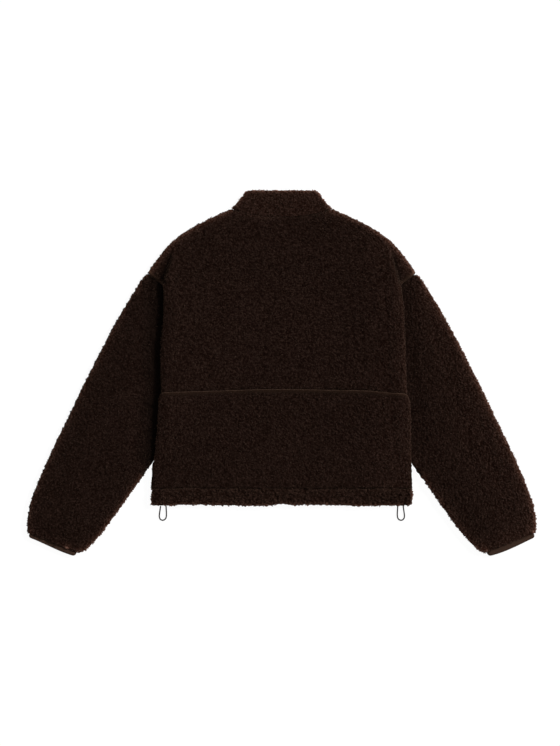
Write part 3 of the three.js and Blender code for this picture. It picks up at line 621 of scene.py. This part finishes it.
def tuftTree():
    # loose loops of yarn that stand out of the pile, most of them along edges and folds
    tree, start, end = newTree("sherpaTufts", {
        "Loop Radius": 0.0014, "Yarn Radius": 0.0005, "Flat Density": 6000.0, "Side Density": 50000.0,
        "Seed": 1,
    })
    arc = addNode(tree, "GeometryNodeCurveArc", mode="RADIUS")
    feed(tree, 5, arc, "Resolution")
    feed(tree, start["Loop Radius"], arc, "Radius")
    feed(tree, math.radians(-20), arc, "Start Angle")
    feed(tree, math.radians(220), arc, "Sweep Angle")
    yarn = addNode(tree, "GeometryNodeCurvePrimitiveCircle", mode="RADIUS")
    feed(tree, 3, yarn, "Resolution")
    feed(tree, start["Yarn Radius"], yarn, "Radius")
    loop = addNode(tree, "GeometryNodeCurveToMesh")
    feed(tree, arc.outputs[0], loop, "Curve")
    feed(tree, yarn.outputs[0], loop, "Profile Curve")
    feed(tree, True, loop, "Fill Caps")
    stood = addNode(tree, "GeometryNodeTransform")
    feed(tree, loop.outputs[0], stood, "Geometry")
    feed(tree, (math.radians(90), 0.0, 0.0), stood, "Rotation")

    tilted = addNode(tree, "ShaderNodeSeparateXYZ")
    feed(tree, addNode(tree, "GeometryNodeInputNormal").outputs[0], tilted, 0)
    flatness = maths(tree, "ABSOLUTE", tilted.outputs[2])
    sideways = remap(tree, flatness, 0.35, 0.85, start["Side Density"], start["Flat Density"])
    upward = remap(tree, tilted.outputs[2], -0.35, -0.15, 0.0, 1.0)
    plain = maths(tree, "SUBTRACT", 1.0, stored(tree, "rolled"))
    clear = remap(tree, stored(tree, "nap"), 0.55, 0.9, 0.0, 1.0)
    density = maths(tree, "MULTIPLY", maths(tree, "MULTIPLY", sideways, upward),
                    maths(tree, "MULTIPLY", clear, plain))
    spots = addNode(tree, "GeometryNodeDistributePointsOnFaces", distribute_method="RANDOM")
    feed(tree, start["Geometry"], spots, "Mesh")
    feed(tree, density, spots, "Density")
    feed(tree, start["Seed"], spots, "Seed")

    def chance(kind, low, high, offset):
        node = addNode(tree, "FunctionNodeRandomValue", data_type=kind)
        live = [i for i in node.inputs if i.enabled]
        live[0].default_value = low
        live[1].default_value = high
        feed(tree, maths(tree, "ADD", start["Seed"], offset), node, "Seed")
        return [o for o in node.outputs if o.enabled][0]

    placed = addNode(tree, "GeometryNodeInstanceOnPoints")
    feed(tree, spots.outputs["Points"], placed, "Points")
    feed(tree, stood.outputs[0], placed, "Instance")
    feed(tree, spots.outputs["Rotation"], placed, "Rotation")
    feed(tree, chance("FLOAT", 0.65, 1.3, 3.0), placed, "Scale")
    spun = addNode(tree, "GeometryNodeRotateInstances")
    feed(tree, placed.outputs[0], spun, "Instances")
    feed(tree, chance("FLOAT_VECTOR", (-0.7, -0.7, -3.14), (0.7, 0.7, 3.14), 5.0), spun, "Rotation")
    lit = storeValue(tree, spun.outputs[0], "pile", chance("FLOAT", 0.55, 1.0, 7.0), "INSTANCE")
    both = addNode(tree, "GeometryNodeJoinGeometry")
    feed(tree, lit, both, 0)
    feed(tree, start["Geometry"], both, 0)
    rested = onTable(tree, realized(tree, both.outputs[0]))
    feed(tree, dyed(tree, smoothed(tree, rested), start["Cloth"]), end, 0)
    return tree


def throughTree(base, tree, values, title):
    # runs a Geometry Nodes tree on base and gives its result as a plain mesh
    modifier = base.modifiers.new(tree.name, "NODES")
    modifier.node_group = tree
    inputs = [s for s in tree.interface.items_tree if s.item_type == "SOCKET" and s.in_out == "INPUT"]
    sockets = {s.name: s.identifier for s in inputs}
    for name, value in values.items():
        modifier[sockets[name]] = value
    done = base.evaluated_get(bpy.context.evaluated_depsgraph_get())
    mesh = bpy.data.meshes.new_from_object(done)
    mesh.name = title
    bpy.data.objects.remove(base)
    return linkObject(title, mesh)


# Materials: the fibres that all three share, then the pile, the bindings and the cord
def fibreGroup():
    # fine yarn fibres: a height that changes faster than the mesh can show
    tree = bpy.data.node_groups.new("fibreGrain", "ShaderNodeTree")
    for name, kind, value in (("Fibre Size", "NodeSocketFloat", 0.0009), ("Tangle", "NodeSocketFloat", 1.2)):
        tree.interface.new_socket(name, in_out="INPUT", socket_type=kind).default_value = value
    tree.interface.new_socket("Height", in_out="OUTPUT", socket_type="NodeSocketFloat")
    start = addNode(tree, "NodeGroupInput").outputs
    end = addNode(tree, "NodeGroupOutput")
    place = addNode(tree, "ShaderNodeTexCoord").outputs["Object"]
    scaled = vectorMaths(tree, "SCALE", place, scale=maths(tree, "DIVIDE", 1.0, start["Fibre Size"]))
    hairs = addNode(tree, "ShaderNodeTexNoise", noise_dimensions="3D")
    feed(tree, scaled, hairs, "Vector")
    feed(tree, 1.0, hairs, "Scale")
    feed(tree, 3.0, hairs, "Detail")
    feed(tree, start["Tangle"], hairs, "Distortion")
    strands = maths(tree, "ABSOLUTE", maths(tree, "SUBTRACT", hairs.outputs["Fac"], 0.5))
    feed(tree, remap(tree, strands, 0.0, 0.2, 1.0, 0.0), end, "Height")
    return tree


fibreGrain = fibreGroup()

sherpaLook = {
    # tip is the colour on top of the curls, root the painted shade down in the crevices between them
    "tip": (0.0354, 0.0187, 0.0139),
    "root": (0.0054, 0.0013, 0.0005),
    "rolledEdge": (0.0208, 0.0106, 0.0067),
    "curl": 2.6 * mm,       # size of the curls that only their painted crevice shade and bump shading show
    "sheen": 0.2,
    "sheenTint": (0.60, 0.37, 0.25, 1.0),
}


def sherpaMaterial(look):
    material, tree, cloth = newMaterial("sherpa")
    pile = addNode(tree, "ShaderNodeAttribute", attribute_name="pile").outputs["Fac"]
    rolled = addNode(tree, "ShaderNodeAttribute", attribute_name="rolled").outputs["Fac"]
    tone = addNode(tree, "ShaderNodeAttribute", attribute_name="tone").outputs["Fac"]
    place = addNode(tree, "ShaderNodeTexCoord").outputs["Object"]
    broad = addNode(tree, "ShaderNodeTexNoise")
    feed(tree, place, broad, "Vector")
    feed(tree, 22.0, broad, "Scale")
    feed(tree, 3.0, broad, "Detail")
    small = vectorMaths(tree, "SCALE", place, scale=1 / look["curl"])
    drift = addNode(tree, "ShaderNodeTexNoise")
    feed(tree, small, drift, "Vector")
    feed(tree, 0.7, drift, "Scale")
    feed(tree, 2.0, drift, "Detail")
    drifted = vectorMaths(tree, "SUBTRACT", drift.outputs["Color"], (0.5, 0.5, 0.5))
    drifted = vectorMaths(tree, "SCALE", drifted, scale=2.2)
    curls = addNode(tree, "ShaderNodeTexVoronoi", feature="F1")
    feed(tree, vectorMaths(tree, "ADD", small, drifted), curls, "Vector")
    feed(tree, 1.0, curls, "Scale")
    curl = remap(tree, curls.outputs["Distance"], 0.21, 0.7, 1.0, 0.0, smooth=True)
    fuzz = remap(tree, pile, 0.05, 0.8, 0.0, 1.0, smooth=True)
    depth = maths(tree, "MULTIPLY", fuzz, maths(tree, "ADD", 0.34, maths(tree, "MULTIPLY", curl, 0.78)))
    # painted shade: darker from the curls' tips down to their roots, in the crevices between them
    dye = addNode(tree, "ShaderNodeMix", data_type="RGBA")
    feed(tree, depth, dye, "Factor")
    dye.inputs[6].default_value = (*look["root"], 1.0)
    dye.inputs[7].default_value = (*look["tip"], 1.0)
    edge = addNode(tree, "ShaderNodeMix", data_type="RGBA")
    feed(tree, rolled, edge, "Factor")
    feed(tree, dye.outputs[2], edge, 6)
    edge.inputs[7].default_value = (*look["rolledEdge"], 1.0)
    # painted light: an open edge glows lighter when looked along than when looked at
    way = addNode(tree, "ShaderNodeAttribute", attribute_name="edgeGlowWay").outputs["Vector"]
    size = addNode(tree, "ShaderNodeVectorMath", operation="LENGTH")
    feed(tree, way, size, 0)
    facing = addNode(tree, "ShaderNodeVectorMath", operation="DOT_PRODUCT")
    feed(tree, way, facing, 0)
    feed(tree, addNode(tree, "ShaderNodeNewGeometry").outputs["Incoming"], facing, 1)
    faced = maths(tree, "ABSOLUTE", facing.outputs["Value"])
    through = maths(tree, "SUBTRACT", size.outputs["Value"], faced)
    tone = maths(tree, "MULTIPLY", tone, maths(tree, "ADD", 1.0, through))
    uneven = remap(tree, broad.outputs["Fac"], 0.3, 0.7, 0.94, 1.06)
    worn = addNode(tree, "ShaderNodeVectorMath", operation="SCALE")
    feed(tree, edge.outputs[2], worn, 0)
    feed(tree, maths(tree, "MULTIPLY", uneven, tone), worn, 3)
    feed(tree, worn.outputs[0], cloth, "Base Color")
    cloth.inputs["Roughness"].default_value = 0.92
    cloth.inputs["Specular IOR Level"].default_value = 0.03
    cloth.inputs["Sheen Weight"].default_value = look["sheen"]
    cloth.inputs["Sheen Roughness"].default_value = 0.45
    cloth.inputs["Sheen Tint"].default_value = look["sheenTint"]
    grain = addNode(tree, "ShaderNodeGroup", node_tree=fibreGrain)
    bump = addNode(tree, "ShaderNodeBump")
    feed(tree, 0.8, bump, "Strength")
    feed(tree, 0.0012, bump, "Distance")
    feed(tree, maths(tree, "ADD", curl, maths(tree, "MULTIPLY", grain.outputs[0], 0.35)), bump, "Height")
    feed(tree, bump.outputs[0], cloth, "Normal")
    return material


sherpa = sherpaMaterial(sherpaLook)

bindingLook = {"yarn": (0.066, 0.0355, 0.0235), "groove": (0.026, 0.0135, 0.0088), "ribs": 700.0,
               "sheenTint": (0.60, 0.35, 0.22, 1.0)}


def bindingMaterial(look):
    # smooth knitted elastic with fine ribs round the cuff; painted shade darkens the grooves between the
    # ribs
    material, tree, cloth = newMaterial("binding")
    across = addNode(tree, "ShaderNodeAttribute", attribute_name="across").outputs["Fac"]
    ribs = maths(tree, "SINE", maths(tree, "MULTIPLY", across, look["ribs"] * 2 * math.pi))
    height = remap(tree, ribs, -1.0, 1.0)
    dye = addNode(tree, "ShaderNodeMix", data_type="RGBA")
    feed(tree, height, dye, "Factor")
    dye.inputs[6].default_value = (*look["groove"], 1.0)
    dye.inputs[7].default_value = (*look["yarn"], 1.0)
    feed(tree, dye.outputs[2], cloth, "Base Color")
    cloth.inputs["Roughness"].default_value = 0.8
    cloth.inputs["Specular IOR Level"].default_value = 0.08
    cloth.inputs["Sheen Weight"].default_value = 0.2
    cloth.inputs["Sheen Tint"].default_value = look["sheenTint"]
    grain = addNode(tree, "ShaderNodeGroup", node_tree=fibreGrain)
    feed(tree, 0.0005, grain, "Fibre Size")
    both = maths(tree, "ADD", height, maths(tree, "MULTIPLY", grain.outputs[0], 0.4))
    bump = addNode(tree, "ShaderNodeBump")
    feed(tree, 0.6, bump, "Strength")
    feed(tree, 0.0004, bump, "Distance")
    feed(tree, both, bump, "Height")
    feed(tree, bump.outputs[0], cloth, "Normal")
    return material


binding = bindingMaterial(bindingLook)

cordLook = {"yarn": (0.020, 0.0135, 0.0105), "gap": (0.006, 0.0042, 0.0034), "plaits": 8.0}


def cordMaterial(look):
    # two sets of strands that cross round the cord; painted shade darkens the gaps between them
    material, tree, yarn = newMaterial("cord")
    where = addNode(tree, "ShaderNodeSeparateXYZ")
    feed(tree, addNode(tree, "ShaderNodeUVMap", uv_map="braid").outputs[0], where, 0)
    waves = []
    for way in (1.0, -1.0):
        turn = maths(tree, "MULTIPLY", where.outputs[0], look["plaits"] / 2)
        turn = maths(tree, "ADD", turn, maths(tree, "MULTIPLY", where.outputs[1], way * look["plaits"] / 2))
        waves.append(maths(tree, "ABSOLUTE", maths(tree, "SINE", maths(tree, "MULTIPLY", turn, math.pi))))
    height = maths(tree, "MAXIMUM", waves[0], waves[1])
    dye = addNode(tree, "ShaderNodeMix", data_type="RGBA")
    feed(tree, remap(tree, height, 0.4, 1.0), dye, "Factor")
    dye.inputs[6].default_value = (*look["gap"], 1.0)
    dye.inputs[7].default_value = (*look["yarn"], 1.0)
    feed(tree, dye.outputs[2], yarn, "Base Color")
    yarn.inputs["Roughness"].default_value = 0.7
    grain = addNode(tree, "ShaderNodeGroup", node_tree=fibreGrain)
    feed(tree, 0.0003, grain, "Fibre Size")
    bump = addNode(tree, "ShaderNodeBump")
    feed(tree, 0.7, bump, "Strength")
    feed(tree, 0.0003, bump, "Distance")
    feed(tree, maths(tree, "ADD", height, maths(tree, "MULTIPLY", grain.outputs[0], 0.3)), bump, "Height")
    feed(tree, bump.outputs[0], yarn, "Normal")
    return material


cordYarn = cordMaterial(cordLook)
for piece in cordPieces.values():
    piece.data.materials.append(cordYarn)

# The fleece pieces: the node each replaces, the size it was cut to, and how its pile is set
sherpaPile = pileTree()
sherpaTufts = tuftTree()
# Lapped seams: how deep the rolled edge is, how far in it fades, and how smooth it lies
crossSeam = {"deep": 5.0 * mm, "fade": 4.5 * mm, "strength": 0.85}
armholeSeam = {"deep": 3.4 * mm, "fade": 4.6 * mm, "strength": 0.9,
               "line": [(260.6, 196.0), (257.2, 191.0), (250.6, 186.0), (243.3, 180.5), (237.5, 176.2)]}
# Painted shade and shadow beside a fold: how far out the pile is darker, what is left of its colour at the
# fold, how fast that eases, and how high above the cloth the fold is looked for
leftNook = {"wide": 46 * mm, "dark": 0.02, "ease": 0.9, "eye": 4 * mm}
rightNook = {"wide": 40 * mm, "dark": 0.88, "ease": 0.6, "eye": 4 * mm}
foldNook = {"wide": 13 * mm, "dark": 0.35, "ease": 0.9, "eye": 2.2 * mm}
# Where the cloth turns towards the lamp: from a place, along a way, over so many mm, lighter by this share
bodySide = [((150, 0), (1.0, 0.0), 65, 0.3)]
leftCuffEnd = [((-439, -314), (-0.395, -0.918), 18, 0.4)]
rightOutside = [((326, -109), (0.939, 0.344), 52, 0.3), ((429, -291), (0.395, -0.918), 42, 0.6)]
# Each piece: its node, its flat size and area, its curls' size and height in mm, how much lighter or darker
# its colour is made, how much painted light glows in at its open edges and how many mm in, and its loose
# loops to a square metre
fleece = {
    "pile_back_upper": {
        "node": "back_upper", "flat": (0.56, 0.37), "area": 0.178, "curl": 3.8, "high": 2.8, "tone": 1.0,
        "rolled": armholeSeam, "nook": foldNook, "turns": bodySide, "edge": (11.2, 4.2), "fine": 1.25,
        "tufts": 4800,
    },
    "pile_back_lower": {
        "node": "back_lower", "flat": (0.54, 0.20), "curl": 3.8, "high": 2.8, "tone": 1.0,
        "rolled": crossSeam, "turns": bodySide, "edge": (2.8, 3.5), "tufts": 7000,
    },
    "pile_front": {
        "node": "front_panel", "flat": (0.54, 0.56), "area": 0.226, "curl": 4.8, "high": 2.6, "tone": 1.0,
        "tufts": 0,
    },
    "pile_collar": {
        "node": "collar", "flat": (0.37, 0.08), "area": 0.021, "curl": 3.8, "high": 2.4, "tone": 1.62,
        "edge": (15.0, 2.1), "fine": 0.85, "tufts": 9000,
    },
    "pile_hem": {
        "node": "hem_channel", "flat": (1.02, 0.036), "curl": 5.0, "high": 3.6, "tone": 1.16,
        "edge": (9.0, 2.6), "fine": 0.9, "tufts": 8000,
    },
    "pile_sleeve_left": {
        "node": "sleeve_left", "flat": (0.54, 0.53), "area": 0.20, "curl": 3.8, "high": 2.8, "tone": 0.9,
        "nook": leftNook, "turns": leftCuffEnd, "edge": (9.5, 3.9), "trim": "cuff_binding_left",
        "tufts": 7000,
    },
    "pile_sleeve_right": {
        "node": "sleeve_right", "flat": (0.54, 0.53), "area": 0.20, "curl": 3.8, "high": 2.8, "tone": 1.0,
        "nook": rightNook, "turns": rightOutside, "edge": (7.0, 5.0), "trim": "cuff_binding_right",
        "tufts": 7000,
    },
}
# What all of them share
curls = {"Clump Size": 26 * mm, "Crimp": 0.5, "Side Fullness": 1.6}
loops = {"Loop Radius": 1.35 * mm, "Yarn Radius": 0.5 * mm, "Side Density": 52000.0}
for number, (title, cut) in enumerate(fleece.items()):
    base = fineCloth(cut["node"], title + "_base", cut)
    piece = throughTree(base, sherpaPile, {
        **curls, "Curl Size": cut["curl"] * mm, "Pile Height": cut["high"] * mm, "Seed": float(number + 1),
        "Cloth": sherpa,
    }, title + "_pile")
    piece = throughTree(piece, sherpaTufts, {
        **loops, "Flat Density": cut["tufts"], "Seed": number + 1, "Cloth": sherpa,
    }, title)
    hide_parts(cut["node"])
    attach(piece, "root")
    print("cloth:", title, triangleCount(piece), "triangles")

# Cuff bindings: the node itself, cut finer, its mouth bowed out and rounded at the ends.
# run is the way along the cuff towards the body, out the way out of the sleeve.
cuffMouth = {
    "left": {"run": (0.926, -0.378), "out": (-0.378, -0.926), "bow": 1.05 * mm, "lean": 2.0},
    "right": {"run": (-0.926, -0.378), "out": (0.378, -0.926), "bow": 2.8 * mm, "lean": 0.6},
}
cuffEnd = {"round": 7 * mm, "drop": 3.2 * mm, "widen": 1.022, "slots": 25, "flat": (0.196, 0.0115)}
for side, cuff in cuffMouth.items():
    title = "ribbed_binding_" + side
    piece = fineCloth("cuff_binding_" + side, title, {})
    spots = np.array([v.co for v in piece.data.vertices])
    run, out = np.array(cuff["run"]), np.array(cuff["out"])
    along = spots[:, :2] @ run
    depth = spots[:, :2] @ out
    middle, half = (along.max() + along.min()) / 2, (along.max() - along.min()) / 2
    place = (along - middle) / half
    slots = np.linspace(-1, 1, cuffEnd["slots"])
    near = [np.abs(place - slot) < 1.5 / cuffEnd["slots"] for slot in slots]
    inner = np.interp(place, slots, [depth[part].min() for part in near])
    outer = np.interp(place, slots, [depth[part].max() for part in near])
    share = np.clip((depth - inner) / (outer - inner), 0, 1)
    fromEnd = np.clip((np.abs(place) - 1) * half / cuffEnd["round"] + 1, 0, 1)
    bow = cuff["bow"] * (1 - place ** 2) * (1 + cuff["lean"] * place)
    push = share * (bow - cuffEnd["drop"] * fromEnd ** 3)
    spots[:, :2] += push[:, None] * out + (place * half * (cuffEnd["widen"] - 1))[:, None] * run
    piece.data.vertices.foreach_set("co", spots.astype(np.float32).ravel())
    piece.data.attributes.new("across", "FLOAT", "POINT").data.foreach_set("value", along.astype(np.float32))
    piece.data.shade_smooth()
    piece.data.materials.append(binding)
    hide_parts("cuff_binding_" + side)
    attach(piece, "root")
    print("binding:", title, triangleCount(piece), "triangles")
